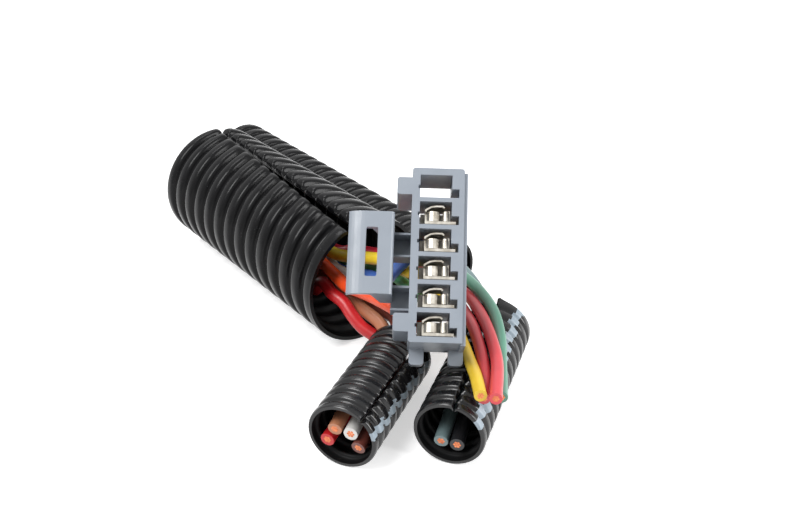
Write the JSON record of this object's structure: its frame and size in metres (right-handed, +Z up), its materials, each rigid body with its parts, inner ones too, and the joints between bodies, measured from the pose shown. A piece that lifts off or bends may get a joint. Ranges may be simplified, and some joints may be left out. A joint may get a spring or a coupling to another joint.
{
  "type": "wiring harness",
  "caption": "Vehicle wiring harness end: split corrugated looms on a surface, coloured wires leaving them, and a leaning moulded connector housing with a side lock lever and crimped terminals.",
  "frame": {"origin": "on the supporting surface, at the middle of the box round the housing and the looms, the free wires left out", "axes": "+Z up, +X to the viewer's right, +Y away from the viewer along the harness's longest extent"},
  "size_m": [0.1278, 0.1986, 0.0689],
  "materials": {
    "nylon_grey": "moulded nylon, satin",
    "tin_plate": "tin-plated copper alloy, bright",
    "loom_black": "corrugated polypropylene, satin sheen",
    "insulation_dark_red": "extruded wire insulation, satin",
    "insulation_blue": "extruded wire insulation, satin",
    "insulation_yellow": "extruded wire insulation, satin",
    "insulation_green": "extruded wire insulation, satin",
    "insulation_orange": "extruded wire insulation, satin",
    "insulation_white": "extruded wire insulation, satin",
    "insulation_red": "extruded wire insulation, satin",
    "insulation_tan": "extruded wire insulation, satin",
    "insulation_brown": "extruded wire insulation, satin",
    "insulation_rose": "extruded wire insulation, satin",
    "insulation_amber": "extruded wire insulation, satin",
    "insulation_sage": "extruded wire insulation, satin",
    "insulation_black": "extruded wire insulation, satin",
    "insulation_grey": "extruded wire insulation, satin"
  },
  "bodies": {
    "root": {"connector_housing": "nylon_grey", "terminal_2": "tin_plate", "terminal_3": "tin_plate", "terminal_4": "tin_plate", "terminal_5": "tin_plate", "terminal_6": "tin_plate", "trunk_loom": "loom_black", "second_loom": "loom_black", "left_branch_loom": "loom_black", "right_branch_loom": "loom_black", "wire_dark_red": "insulation_dark_red", "wire_blue": "insulation_blue", "wire_yellow": "insulation_yellow", "wire_green": "insulation_green", "wire_orange": "insulation_orange", "wire_white": "insulation_white", "wire_red": "insulation_red", "wire_tan": "insulation_tan", "wire_brown": "insulation_brown", "wire_right_red_outer": "insulation_rose", "wire_right_red_inner": "insulation_rose", "wire_right_yellow": "insulation_amber", "wire_right_green": "insulation_sage", "wire_black": "insulation_black", "wire_grey": "insulation_grey"}
  },
  "joints": []
}
